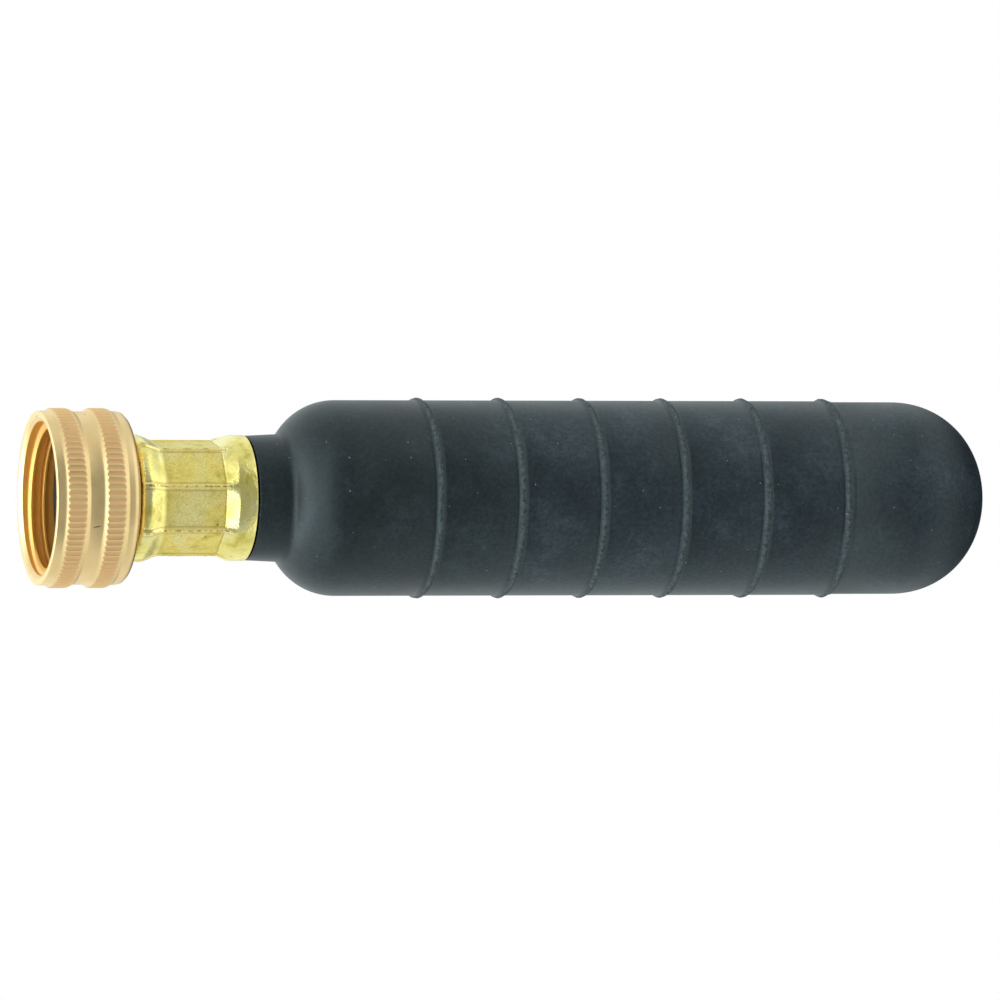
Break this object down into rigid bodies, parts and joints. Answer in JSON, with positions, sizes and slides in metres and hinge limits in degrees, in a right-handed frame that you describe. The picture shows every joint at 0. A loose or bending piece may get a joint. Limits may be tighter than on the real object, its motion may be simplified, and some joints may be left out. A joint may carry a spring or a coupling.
{
  "type": "drain cleaning bladder",
  "caption": "Ribbed black rubber bag crimped onto a brass garden-hose swivel nut; it swells in a drain pipe and jets water forward through its nose.",
  "frame": {"origin": "centre of the mouth face of the swivel nut, on the surface that the part stands on", "axes": "+Z along the common axis of nut, sleeve and bladder, from the mouth towards the nose; -Y is the side that faces the viewer in the picture"},
  "size_m": [0.0358, 0.0358, 0.1738],
  "materials": {
    "nut_brass": "matte turned, knurled",
    "washer_rubber": "matte",
    "stem_brass": "satin turned",
    "ferrule_brass": "satin, mottled by the crimp",
    "bladder_rubber": "satin moulded"
  },
  "bodies": {
    "bag": {"bladder": "bladder_rubber", "ferrule": "ferrule_brass", "tail_stem": "stem_brass"},
    "nut": {"swivel_nut": "nut_brass", "hose_washer": "washer_rubber"}
  },
  "joints": [
    {"name": "nut_swivel", "type": "hinge", "parent": "bag", "child": "nut", "pos_m": [0, 0, 0.0138], "axis": [0, 0, 1], "continuous": true}
  ]
}
